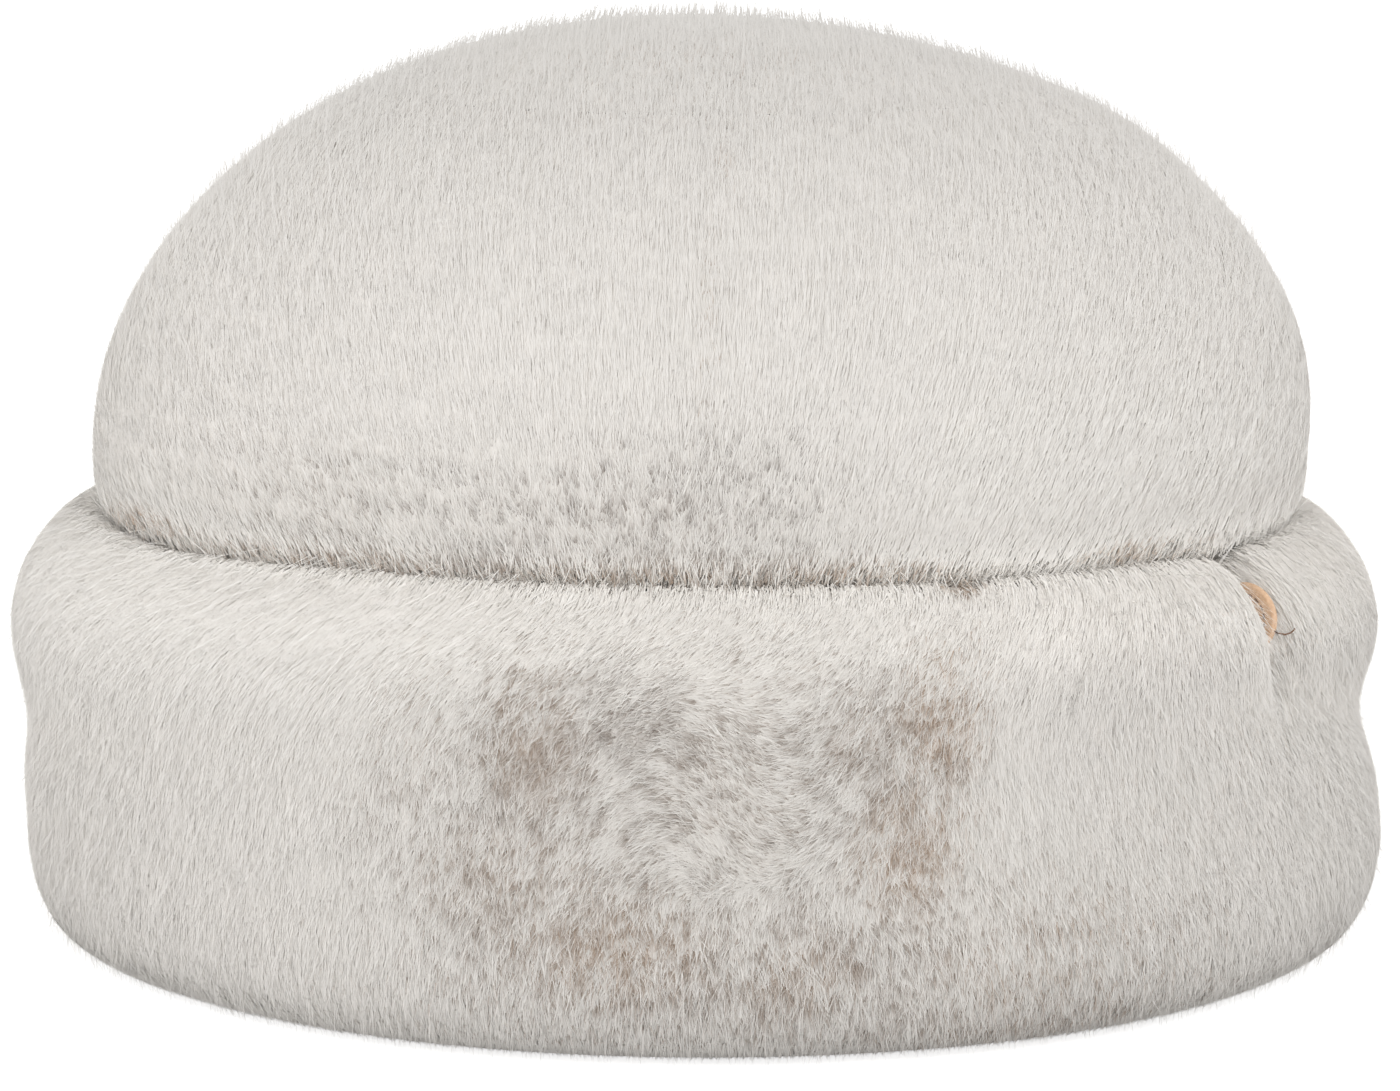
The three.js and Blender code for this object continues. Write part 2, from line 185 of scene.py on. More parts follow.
def cell_chance(places, size, salt):
    """A repeatable number between 0 and 1 for each cell of a space grid, read at the given places."""
    cells = np.floor(places / size).astype(np.int64)
    mixed = cells[:, 0] * CELL_MIX[0] ^ cells[:, 1] * CELL_MIX[1] ^ cells[:, 2] * CELL_MIX[2]
    mixed = mixed ^ salt * SALT_MIX
    mixed = (mixed ^ (mixed >> 13)) * LAST_MIX
    return ((mixed ^ (mixed >> 16)) & 0xFFFF) / 65535.0


def tuft_centres(places, size):
    """The middle of the tuft that each place belongs to, a little off the middle of its cell."""
    off = np.stack([cell_chance(places, size, salt) for salt in (1, 2, 3)], axis=1)
    return (np.floor(places / size) + 0.2 + 0.6 * off) * size


def ripple(places, length, salt):
    """Smooth noise between about -1 and 1 with waves of about the given length."""
    draws = np.random.default_rng(salt)
    total = np.zeros(len(places))
    for _ in range(7):
        way = draws.normal(size=3)
        way *= 2 * math.pi / (length * np.linalg.norm(way) * draws.uniform(0.7, 1.5))
        total += np.sin(places @ way + draws.uniform(0, 2 * math.pi))
    return total / 2.6


def patch_tones(places, patches):
    """Darkness and warmth of the ruffled patches; each row is one soft round patch of the front."""
    dark = np.zeros(len(places))
    warm = np.zeros(len(places))
    for patch in patches:
        across = (places[:, 0] / MM - patch["x"]) / patch["wide"]
        up = (places[:, 2] / MM - patch["z"]) / patch["high"]
        spot = patch["dark"] * np.exp(-(across**2 + up**2)) * smooth(-places[:, 1] / (40 * MM))
        warm = np.maximum(warm, spot * patch["warm"])
        dark = 1 - (1 - dark) * (1 - spot)
    return dark, np.clip(warm / np.maximum(dark, 0.05), 0, 1)


def pick_places(pelt, count, keep, patches, draws):
    """Places spread over the fur's outer surface, given as points of the pelt with normals; the
    ruffled patches get more of them and the back fewer."""
    mesh = pelt.data
    mesh.calc_loop_triangles()
    corners = np.zeros(len(mesh.loop_triangles) * 3, dtype=np.int64)
    mesh.loop_triangles.foreach_get("vertices", corners)
    corners = corners.reshape(-1, 3)
    normals = np.zeros(len(mesh.vertices) * 3)
    mesh.vertex_normals.foreach_get("vector", normals)
    normals = normals.reshape(-1, 3)
    places = read_points(mesh)
    lifted = places + normals * FUR_DEPTH
    first, second, third = corners.T
    facing = np.cross(places[second] - places[first], places[third] - places[first])
    spans = np.cross(lifted[second] - lifted[first], lifted[third] - lifted[first])
    middles = places[corners].mean(axis=1)
    density = np.where(middles[:, 1] > 30 * MM, 0.7, 1.0) + 1.2 * patch_tones(middles, patches)[0]
    areas = np.linalg.norm(spans, axis=1) * keep(middles, unit(facing)) * density
    chosen = draws.choice(len(areas), size=count, p=areas / areas.sum())
    across, along = draws.random(count), draws.random(count)
    flip = across + along > 1
    across[flip], along[flip] = 1 - across[flip], 1 - along[flip]
    weights = np.stack([1 - across - along, across, along], axis=1)[:, :, None]
    points = (places[corners[chosen]] * weights).sum(axis=1)
    outward = unit((normals[corners[chosen]] * weights).sum(axis=1))
    return points, outward


HAIR_WIDTH = 0.24 * MM
PILE_LEAN = 1.37
GUARD_SHARE = 0.14
GUARD_REACH = 4.2 * MM
LOWEST_TIP = 0.4 * MM
BAKE_CORNERS = np.array([[0.12, 0.1], [0.88, 0.1], [0.5, 0.92]])


def hair_mesh(name, roots, tips, outward, lit, width, tone, draws):
    """One mesh of flat tapered hairs, a triangle each, lit as the surface that they cover."""
    count = len(roots)
    hair = unit(tips - roots)
    side = unit(np.cross(hair, outward) + 1e-6)
    twist = draws.normal(0, 0.08 + 0.4 * tone[:, 2], count)
    flat = unit(side * np.cos(twist)[:, None] + np.cross(hair, side) * np.sin(twist)[:, None])
    half = flat * (width * 0.5)[:, None]
    places = np.stack([roots - half, roots + half, tips], axis=1).reshape(-1, 3)
    face = np.cross(2 * half, tips - roots)
    turned = (face * outward).sum(axis=1) < 0
    order = np.arange(3 * count).reshape(-1, 3)
    order[turned] = order[turned][:, [1, 0, 2]]
    mesh = bpy.data.meshes.new(name)
    mesh.vertices.add(3 * count)
    mesh.loops.add(3 * count)
    mesh.polygons.add(count)
    mesh.vertices.foreach_set("co", places.ravel())
    mesh.loops.foreach_set("vertex_index", order.ravel())
    mesh.polygons.foreach_set("loop_start", np.arange(0, 3 * count, 3))
    mesh.polygons.foreach_set("use_smooth", np.ones(count, dtype=bool))
    mesh.update()
    colours = np.repeat(tone[:, None, :], 3, axis=1).astype(np.float32)
    colours[:, :2, 0] = 0.0
    colours[:, 2, 0] = 1.0
    colour = mesh.color_attributes.new("hair_tone", "FLOAT_COLOR", "POINT")
    colour.data.foreach_set("color", colours.ravel())
    columns = int(math.ceil(math.sqrt(count)))
    cell = np.stack([np.arange(count) % columns, np.arange(count) // columns], axis=1)
    bake = (cell[:, None, :] + BAKE_CORNERS[None, :, :]) / columns
    bake[turned] = bake[turned][:, [1, 0, 2]]
    layer = mesh.uv_layers.new(name="OFBake")
    layer.data.foreach_set("uv", bake.astype(np.float32).ravel())
    turned_face = unit(face * np.where(turned, -1, 1)[:, None])
    own_share = (0.03 + 0.4 * tone[:, 2])[:, None]
    shading = unit(turned_face * own_share + lit * (1 - own_share))
    mesh.normals_split_custom_set_from_vertices(np.repeat(shading, 3, axis=0))
    fur = bpy.data.objects.new(name, mesh)
    bpy.context.scene.collection.objects.link(fur)
    return fur


TUFT_SIZE = 1.9 * MM
GATHER_SIZE = 1.1 * MM
FINE_FLECK = 0.6 * MM
COARSE_FLECK = 1.3 * MM
MOTTLE_SIZE = 5 * MM
GUARD_WIDTH = 0.65


def grow_fur(name, pelt, count, keep, pile, seed):
    """Covers the kept faces of a pelt in fur. The pile says how: comb gives each hair's way along the
    pelt, faces the way that it stands and the way that it is lit, guards the share that stands loose,
    a paleness by place that is painted light and shade, patches where it is ruffled, and clear which hairs
    may stay."""
    draws = np.random.default_rng(seed)
    points, normals = pick_places(pelt, count, keep, pile["patches"], draws)
    outward, lit = pile["faces"](points, normals)
    ruffle, warm = patch_tones(points, pile["patches"])
    way = pile["comb"](points, outward)
    guard = draws.random(count) < pile["guards"](points)
    swing = draws.normal(0, 1, count) * (0.08 + 0.45 * ruffle)
    swing += (cell_chance(points, TUFT_SIZE, 9) - 0.5) * (0.1 + 1.1 * ruffle)
    across = np.cross(outward, way)
    way = unit(way * np.cos(swing)[:, None] + across * np.sin(swing)[:, None])
    lean = PILE_LEAN * (1 - 0.3 * ruffle) + (cell_chance(points, TUFT_SIZE, 5) - 0.5) * 0.5 * ruffle
    lean = lean * np.where(guard, draws.uniform(0.45, 0.8, count), 1.0)
    lean = np.clip(lean + draws.normal(0, 0.015 + 0.12 * ruffle, count), 0.15, 1.42)
    rise = FUR_DEPTH + draws.normal(0, 0.04 + 0.4 * ruffle, count) * MM
    rise += np.where(guard, draws.random(count) ** 1.5 * GUARD_REACH, 0)
    hair = outward * np.cos(lean)[:, None] + way * np.sin(lean)[:, None]
    tips = points + outward * rise[:, None]
    middles = tuft_centres(points, GATHER_SIZE) - points
    middles -= outward * (middles * outward).sum(axis=1, keepdims=True)
    gather = np.where(guard, 0.55, 0.05 + 0.5 * ruffle)[:, None]
    tips += middles * gather
    roots = points + outward * rise[:, None] - hair * ((rise + 0.1 * MM) / np.cos(lean))[:, None]
    roots[:, 2] = np.maximum(roots[:, 2], LOWEST_TIP)
    tips[:, 2] = np.maximum(tips[:, 2], LOWEST_TIP + 0.8 * MM * draws.random(count))
    fleck = cell_chance(roots, FINE_FLECK, 17)
    fleck = np.maximum(fleck, 0.94 * cell_chance(roots, COARSE_FLECK, 18))
    mottle = np.clip(0.5 + 0.6 * ripple(points, MOTTLE_SIZE, 3), 0, 1)
    amount = ruffle * (0.2 + 0.4 * mottle) + ruffle * 1.2 * smooth((fleck - 0.68) / 0.22)
    amount = np.clip(amount, 0, 1)
    # Painted light and shade from the pile's table, plus a small random spread of paleness that is the
    # fibres' own.
    paleness_with_painted_light = pile["painted_light"](points) + (draws.random(count) - 0.5) * (0.03 + 0.25 * ruffle)
    tone = np.stack([np.zeros(count), paleness_with_painted_light, amount, warm], axis=1)
    width = HAIR_WIDTH * (0.7 + 0.6 * draws.random(count)) * (1 - 0.35 * ruffle)
    width = width * np.where(guard, GUARD_WIDTH, 1.0)
    free = pile["clear"](roots, tips)
    return hair_mesh(name, roots[free], tips[free], outward[free], lit[free], width[free], tone[free], draws)


CROWN_PATCHES = [
    {"x": -62, "z": 91, "wide": 24, "high": 10, "dark": 0.25, "warm": 0.3},
    {"x": -15, "z": 90, "wide": 32, "high": 12, "dark": 0.34, "warm": 0.2},
    {"x": 8, "z": 96, "wide": 20, "high": 12, "dark": 0.18, "warm": 0.1},
    # Rows at z 80 to 82 darken and warm a thin band just above the crest: brown roots where the pile parts,
    # and partly painted shade of the groove.
    {"x": -58, "z": 80, "wide": 26, "high": 3.5, "dark": 0.24, "warm": 1.0},
    {"x": -10, "z": 80, "wide": 28, "high": 4, "dark": 0.28, "warm": 1.0},
    {"x": 24, "z": 80, "wide": 18, "high": 4, "dark": 0.28, "warm": 1.0},
    {"x": 74, "z": 81, "wide": 11, "high": 3, "dark": 0.2, "warm": 1.0},
    {"x": -94, "z": 82, "wide": 8, "high": 2.5, "dark": 0.3, "warm": 1.0},
    # The wide row at z 167 ruffles the front of the top, and its darker, warmer colour there is painted
    # shade for the top's dimmer light.
    {"x": 0, "z": 167, "wide": 200, "high": 13, "dark": 0.24, "warm": 0.9},
    {"x": 0, "z": 149, "wide": 200, "high": 1.8, "dark": 0.06, "warm": 1.0},
    {"x": 4, "z": 143, "wide": 1.4, "high": 5, "dark": 0.2, "warm": 1.0},
    {"x": 1.5, "z": 122, "wide": 1.6, "high": 14, "dark": 0.16, "warm": 1.0},
]


PILE_MEETING = np.array([4, 66, 150]) * MM
PILE_FAN = 0.7
PILE_TILT = 0.06


def comb_crown(points, outward):
    """The crown's pile points up and fans outward; over the top it runs to one place at the back."""
    fan = PILE_FAN * points[:, 0] / DOME_HALF_WIDTH + PILE_TILT
    way = np.stack([fan, np.zeros(len(points)), np.ones(len(points))], axis=1)
    top = smooth((outward[:, 2] - 0.3) / 0.5)[:, None]
    way = way * (1 - top) + unit(PILE_MEETING - points) * top
    return unit(way - outward * (way * outward).sum(axis=1, keepdims=True))


def crown_faces(points, normals):
    outward = crown_outward(points)
    return outward, outward


FUR_BELOW_GROOVE = 2 * MM


def on_crown(middles, facing):
    """Keeps the crown's outer faces above the groove, and none of its seam edges or its lining."""
    outer = (facing * crown_outward(middles)).sum(axis=1) > 0.8
    return outer & (middles[:, 2] > GROOVE_HEIGHT - FUR_BELOW_GROOVE)


CROWN_SIDE_HAIRS = 125000


def crown_painted_light(points):
    """Painted light in the crown's pile colour: paler at its foot, against the cuff's shade there, and
    darker on top as painted shade.
    """
    height = points[:, 2] / MM
    return 0.958 + 0.104 * smooth((86 - height) / 8) - 0.046 * smooth((height - 132) / 22)


def crown_guards(points):
    """More of the pile stands loose over the top."""
    return GUARD_SHARE + 0.1 * smooth((points[:, 2] / MM - 110) / 30)


def every_hair(roots, tips):
    return np.ones(len(roots), dtype=bool)


# The pile's paleness by place is painted light and shade in its colour.
crown_pile = {"comb": comb_crown, "faces": crown_faces, "clear": every_hair, "patches": CROWN_PATCHES,
              "painted_light": crown_painted_light, "guards": crown_guards}
left_fur = grow_fur("crown_fur_left", left_pelt, CROWN_SIDE_HAIRS, on_crown, crown_pile, 11)
right_fur = grow_fur("crown_fur_right", right_pelt, CROWN_SIDE_HAIRS, on_crown, crown_pile, 12)

IVORY = (0.935, 0.908, 0.868)
COOL_ROOT = (0.3, 0.27, 0.25)
WARM_ROOT = (0.45, 0.3, 0.19)


def mix_colours(nodes, links, factor, first, second, blend="MIX"):
    """A colour mix node; first and second are colours or sockets."""
    mix = nodes.new("ShaderNodeMix")
    mix.data_type = "RGBA"
    mix.blend_type = blend
    if isinstance(factor, float):
        mix.inputs["Factor"].default_value = factor
    else:
        links.new(factor, mix.inputs["Factor"])
    for name, value in (("A", first), ("B", second)):
        if isinstance(value, tuple):
            mix.inputs[name].default_value = (*value, 1)
        else:
            links.new(value, mix.inputs[name])
    return mix.outputs["Result"]


def make_pile_colour():
    """Shared colour of the pile: from a cool or a warm root to ivory, by how light the spot is."""
    group = bpy.data.node_groups.new("pile_colour", "ShaderNodeTree")
    group.interface.new_socket("Light", in_out="INPUT", socket_type="NodeSocketFloat")
    group.interface.new_socket("Warmth", in_out="INPUT", socket_type="NodeSocketFloat")
    group.interface.new_socket("Color", in_out="OUTPUT", socket_type="NodeSocketColor")
    inside = group.nodes.new("NodeGroupInput")
    root = mix_colours(group.nodes, group.links, inside.outputs["Warmth"], COOL_ROOT, WARM_ROOT)
    shade = mix_colours(group.nodes, group.links, inside.outputs["Light"], root, IVORY)
    group.links.new(shade, group.nodes.new("NodeGroupOutput").inputs["Color"])
    return group


pile_colour = make_pile_colour()


def start_material(name, roughness, specular):
    """A new material with its nodes, links and Principled shader."""
    material = bpy.data.materials.new(name)
    material.use_nodes = True
    nodes = material.node_tree.nodes
    shader = nodes["Principled BSDF"]
    shader.inputs["Roughness"].default_value = roughness
    shader.inputs["Specular IOR Level"].default_value = specular
    return material, nodes, material.node_tree.links, shader


def add_math(nodes, links, operation, *values):
    """A math node; each value is a number or a socket."""
    node = nodes.new("ShaderNodeMath")
    node.operation = operation
    for socket, value in zip(node.inputs, values):
        if isinstance(value, (int, float)):
            socket.default_value = value
        else:
            links.new(value, socket)
    return node.outputs["Value"]


def read_tone(nodes, links, attribute):
    tone = nodes.new("ShaderNodeAttribute")
    tone.attribute_name = attribute
    parts = nodes.new("ShaderNodeSeparateColor")
    links.new(tone.outputs["Color"], parts.inputs["Color"])
    return parts, tone.outputs["Alpha"]


def add_pile_colour(nodes, links, light, warmth):
    node = nodes.new("ShaderNodeGroup")
    node.node_tree = pile_colour
    links.new(light, node.inputs["Light"])
    links.new(warmth, node.inputs["Warmth"])
    return node.outputs["Color"]


def make_hair_material():
    """Pile fibre: its root colour reaches further up where the fur is ruffled."""
    material, nodes, links, shader = start_material("pile_fibre", 0.85, 0.15)
    parts, warmth = read_tone(nodes, links, "hair_tone")
    reach = add_math(nodes, links, "MULTIPLY_ADD", parts.outputs["Blue"], 2.2, 0.02)
    ramp = nodes.new("ShaderNodeMapRange")
    ramp.interpolation_type = "SMOOTHSTEP"
    links.new(parts.outputs["Red"], ramp.inputs["Value"])
    ramp.inputs["From Min"].default_value = -0.3
    links.new(reach, ramp.inputs["From Max"])
    shade = add_pile_colour(nodes, links, ramp.outputs["Result"], warmth)
    # The tone's green channel scales the colour: painted light and shade, with a small random spread of
    # paleness.
    scaled = mix_colours(nodes, links, 1.0, shade, parts.outputs["Green"], "MULTIPLY")
    links.new(scaled, shader.inputs["Base Color"])
    return material


def make_underfur_material():
    """Dense short underfur between the fibres, flecked where the fur is ruffled."""
    material, nodes, links, shader = start_material("underfur", 0.95, 0.1)
    parts, _ = read_tone(nodes, links, "pelt_tone")
    place = nodes.new("ShaderNodeTexCoord")
    stretch = nodes.new("ShaderNodeMapping")
    stretch.inputs["Scale"].default_value = (1.0, 1.0, 0.35)
    links.new(place.outputs["Object"], stretch.inputs["Vector"])
    flecks = nodes.new("ShaderNodeTexNoise")
    flecks.inputs["Scale"].default_value = 1100
    flecks.inputs["Detail"].default_value = 2
    links.new(stretch.outputs["Vector"], flecks.inputs["Vector"])
    depth = add_math(nodes, links, "MULTIPLY_ADD", flecks.outputs["Fac"], 1.6, -0.3)
    shaded = add_math(nodes, links, "MULTIPLY", parts.outputs["Red"], depth)
    light = add_math(nodes, links, "SUBTRACT", 0.97, shaded)
    links.new(add_pile_colour(nodes, links, light, parts.outputs["Green"]), shader.inputs["Base Color"])
    bump = nodes.new("ShaderNodeBump")
    bump.inputs["Strength"].default_value = 0.3
    bump.inputs["Distance"].default_value = 0.2 * MM
    links.new(flecks.outputs["Fac"], bump.inputs["Height"])
    links.new(bump.outputs["Normal"], shader.inputs["Normal"])
    return material


def make_backing_material():
    """Plain woven cotton that the pile is set in, seen inside the hat."""
    material, nodes, links, shader = start_material("woven_backing", 0.9, 0.2)
    run = nodes.new("ShaderNodeUVMap")
    run.uv_map = "weave"
    threads = []
    for direction in ("X", "Y"):
        wave = nodes.new("ShaderNodeTexWave")
        wave.bands_direction = direction
        wave.inputs["Scale"].default_value = 0.314 / (1.4 * MM)
        wave.inputs["Distortion"].default_value = 1.2
        wave.inputs["Detail Scale"].default_value = 0.4
        links.new(run.outputs["UV"], wave.inputs["Vector"])
        threads.append(wave.outputs["Fac"])
    weave = add_math(nodes, links, "MULTIPLY", *threads)
    cotton = mix_colours(nodes, links, weave, (0.5, 0.46, 0.41), (0.74, 0.71, 0.66))
    links.new(cotton, shader.inputs["Base Color"])
    bump = nodes.new("ShaderNodeBump")
    bump.inputs["Strength"].default_value = 0.6
    bump.inputs["Distance"].default_value = 0.3 * MM
    links.new(weave, bump.inputs["Height"])
    links.new(bump.outputs["Normal"], shader.inputs["Normal"])
    return material


fibre_look = make_hair_material()
underfur_look = make_underfur_material()
backing_look = make_backing_material()


def dress_pelt(pelt, patches, backing_top):
    """Underfur on a pelt's outer faces, woven backing on those that look inward below a height."""
    mesh = pelt.data
    places = read_points(mesh)
    dark, warm = patch_tones(places, patches)
    tone = mesh.color_attributes.new("pelt_tone", "FLOAT_COLOR", "POINT")
    colours = np.stack([dark, warm, dark * 0, dark * 0 + 1], axis=1)
    tone.data.foreach_set("color", colours.astype(np.float32).ravel())
    corners = np.zeros(len(mesh.loops), dtype=np.int64)
    mesh.loops.foreach_get("vertex_index", corners)
    held = places[corners]
    across = np.hypot(held[:, 0], held[:, 1])
    run = np.stack([np.arctan2(held[:, 0], -held[:, 1]) * HEAD_HALF_WIDTH, held[:, 2] - across], axis=1)
    layer = mesh.uv_layers.new(name="weave")
    layer.data.foreach_set("uv", run.astype(np.float32).ravel())
    mesh.materials.append(underfur_look)
    mesh.materials.append(backing_look)
    for face in mesh.polygons:
        middle = Vector((face.center.x, face.center.y, max(face.center.z - CROWN_SPRING, 0)))
        face.material_index = int(face.normal.dot(middle) < 0 and face.center.z < backing_top)


for piece in (left_pelt, right_pelt):
    dress_pelt(piece, CROWN_PATCHES, FUR_TOP)
for piece in (left_fur, right_fur):
    piece.data.materials.append(fibre_look)
for piece, node in ((left_pelt, "crown_side_left"), (left_fur, "crown_side_left"),
                    (right_pelt, "crown_side_right"), (right_fur, "crown_side_right")):
    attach(piece, "root")
    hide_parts(node)

# Tip. An oval panel of the same fur closes the crown, sewn all round to the two sides. Its pile runs
# over the top from the front and lies flat at the back.
TIP_HAIRS = 55000
TIP_START_SHARE = TIP_SEAM_SHARE + 0.003


def make_tip():
    outer = crown_line(TIP_START_SHARE, 1, 18, CROWN_WALL - FUR_DEPTH)
    inner = crown_line(TIP_START_SHARE, 1, 12, 0)
    pelt = spin_pelt("tip_pelt", outer + inner[::-1], 2 * math.pi, 2 * SIDE_STEPS)
    shape_crown(pelt)
    return pelt


tip_pelt = make_tip()
tip_fur = grow_fur("tip_fur", tip_pelt, TIP_HAIRS, on_crown, crown_pile, 13)
dress_pelt(tip_pelt, CROWN_PATCHES, FUR_TOP)
tip_fur.data.materials.append(fibre_look)
for piece in (tip_pelt, tip_fur):
    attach(piece, "root")
    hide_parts("crown_tip")

# Cuff. One wide strip of the same fur, folded and turned up round the crown, its lip sewn under the
# crown's edge. The crest rolls over towards the crown. The strip's ends meet at the front, on the
# wearer's left.
CUFF_HEIGHT = 77.5 * MM
CUFF_THICKNESS = 24.2 * MM
SEAT_REACH = 6.4 * MM
CUFF_SEAT = HEAD_HALF_WIDTH + SEAT_REACH
HEAD_DEPTH_RATIO = 188 / 176
CUFF_SEAM = math.radians(57)
CUFF_SECTION = [
    {"height": 0.0, "thickness": 0.5},
    {"height": 0.03, "thickness": 0.74},
    {"height": 0.1, "thickness": 0.91},
    {"height": 0.2, "thickness": 0.99},
    {"height": 0.34, "thickness": 1.0},
    {"height": 0.48, "thickness": 1.0},
    {"height": 0.62, "thickness": 1.0},
    {"height": 0.75, "thickness": 1.02},
    {"height": 0.85, "thickness": 0.95},
    {"height": 0.93, "thickness": 0.8},
    {"height": 0.985, "thickness": 0.64},
    {"height": 1.0, "thickness": 0.5},
    {"height": 0.995, "thickness": 0.38},
    {"height": 0.97, "thickness": 0.29},
]
CREST_LINE = [
    {"angle": -180, "height": 1.0},
    {"angle": -100, "height": 0.985},
    {"angle": -60, "height": 0.975},
    {"angle": -32, "height": 1.0},
    {"angle": 0, "height": 1.0},
    {"angle": 30, "height": 0.99},
    {"angle": 45, "height": 0.985},
    {"angle": 54, "height": 0.97},
    {"angle": 66, "height": 0.975},
    {"angle": 110, "height": 0.965},
    {"angle": 180, "height": 1.0},
]
PINCH_LINE = [
    {"angle": -180, "depth": 0.5, "height": 0.5},
    {"angle": -95, "depth": 1.0, "height": 0.5},
    {"angle": -55, "depth": 0.3, "height": 0.55},
    {"angle": 0, "depth": 0.0, "height": 0.6},
    {"angle": 40, "depth": 0.1, "height": 0.7},
    {"angle": 58, "depth": 1.0, "height": 0.66},
    {"angle": 95, "depth": 1.0, "height": 0.49},
    {"angle": 180, "depth": 0.5, "height": 0.5},
]
FULL_LINE = [
    {"angle": -180, "low": 0.0, "high": 0.0},
    {"angle": -125, "low": 0.0, "high": 0.6},
    {"angle": -88, "low": 0.3, "high": 2.2},
    {"angle": -50, "low": -1.4, "high": 0.6},
    {"angle": -10, "low": 0.0, "high": 0.0},
    {"angle": 30, "low": 1.2, "high": 0.0},
    {"angle": 60, "low": 1.0, "high": 0.0},
    {"angle": 90, "low": 1.8, "high": 0.2},
    {"angle": 180, "low": 0.0, "high": 0.0},
]
PINCH_DEPTH = 2.6 * MM
PINCH_SPREAD = 0.11
SEAM_RADIUS = 113 * MM
SEAM_FRONT_WIDTH = 4.6 * MM
SEAM_BACK_WIDTH = 3.0 * MM
SEAM_PULL = 4.8 * MM
SEAM_DIP = 0.045
CUFF_BEND_START = 3 * MM
CUFF_BEND_RUN = 6 * MM
CUFF_STEPS = 360
FOOT_CLEARANCE = 0.5 * MM
LIP_TOP = 5 * MM
LIP_EDGE = 1.5 * MM
GROOVE_REACH = 3.8 * MM
CUFF_INSIDE = [
    {"reach": 3.9 * MM, "height": GROOVE_HEIGHT - 3 * MM},
    {"reach": 3.4 * MM, "height": 48 * MM},
    {"reach": 1.4 * MM, "height": 26 * MM},
    {"reach": 0.0, "height": LIP_TOP},
    {"reach": -SEAT_REACH, "height": LIP_TOP},
    {"reach": -SEAT_REACH, "height": LIP_EDGE},
    {"reach": LIP_EDGE - SEAT_REACH, "height": 0.0},
    {"reach": 7 * MM, "height": 0.0},
]


def read_line(line, angle, column):
    """One column of a table of angles, read at each angle round the cuff."""
    degrees = (np.degrees(angle) + 180) % 360 - 180
    return np.interp(degrees, [row["angle"] for row in line], [row[column] for row in line])


def inner_curve(points, inset, steps):
    """A rounded curve through the points, moved to its inner side by inset."""
    runs = np.concatenate([[0], np.cumsum(np.linalg.norm(np.diff(points, axis=0), axis=1))])
    even = np.linspace(0, runs[-1], 6 * steps)
    curve = np.stack([np.interp(even, runs, points[:, column]) for column in range(2)], axis=1)
    for _ in range(40):
        curve[1:-1] = (curve[:-2] + 2 * curve[1:-1] + curve[2:]) / 4
    slope = np.gradient(curve, axis=0)
    slope /= np.linalg.norm(slope, axis=1, keepdims=True)
    curve = curve + np.stack([-slope[:, 1], slope[:, 0]], axis=1) * inset
    return curve[np.linspace(0, len(curve) - 1, steps).astype(int)]


def shape_cuff(pelt):
    """Makes the spun cuff oval. Its outer side gets an uneven crest and fullness, the soft pinch at
    half height and the drawn-in seam; its lip and inner face stay plain."""
    places = read_points(pelt.data)
    radius = np.hypot(places[:, 0], places[:, 1])
    angle = np.arctan2(places[:, 0], -places[:, 1])
    share = places[:, 2] / CUFF_HEIGHT
    outside = smooth((radius - CUFF_SEAT - CUFF_BEND_START) / CUFF_BEND_RUN)
    lie = (share - read_line(PINCH_LINE, angle, "height")) / PINCH_SPREAD
    pinch = PINCH_DEPTH * read_line(PINCH_LINE, angle, "depth") * np.exp(-(lie**2))
    beside = (angle - CUFF_SEAM) * SEAM_RADIUS
    seam = np.exp(-((beside / np.where(beside < 0, SEAM_FRONT_WIDTH, SEAM_BACK_WIDTH)) ** 2))
    pull = seam * SEAM_PULL * smooth((share - 0.63) / 0.18)
    full = read_line(FULL_LINE, angle, "low") * smooth((0.5 - share) / 0.3)
    full += read_line(FULL_LINE, angle, "high") * smooth((share - 0.25) / 0.3)
    radius += (full * MM - pinch - pull) * outside
    crest = read_line(CREST_LINE, angle, "height") - SEAM_DIP * seam
    places[:, 2] *= 1 + (crest - 1) * smooth((share - 0.3) / 0.5) * outside
    line = np.minimum(radius, HEAD_HALF_WIDTH)
    places[:, 0] = radius * np.sin(angle)
    places[:, 1] = -(line * HEAD_DEPTH_RATIO + radius - line) * np.cos(angle)
    write_points(pelt.data, places)


def make_cuff():
    table = [[CUFF_SEAT + CUFF_THICKNESS * row["thickness"], CUFF_HEIGHT * row["height"]]
             for row in CUFF_SECTION]
    table.append([CUFF_SEAT + GROOVE_REACH, GROOVE_HEIGHT])
    outer = inner_curve(np.array(table), FUR_DEPTH, 44)
    outer[:, 1] = np.maximum(outer[:, 1], FOOT_CLEARANCE)
    inner = [(CUFF_SEAT + row["reach"], row["height"]) for row in CUFF_INSIDE]
    pelt = spin_pelt("cuff_pelt", [tuple(point) for point in outer] + inner, 2 * math.pi, CUFF_STEPS)
    shape_cuff(pelt)
    return pelt


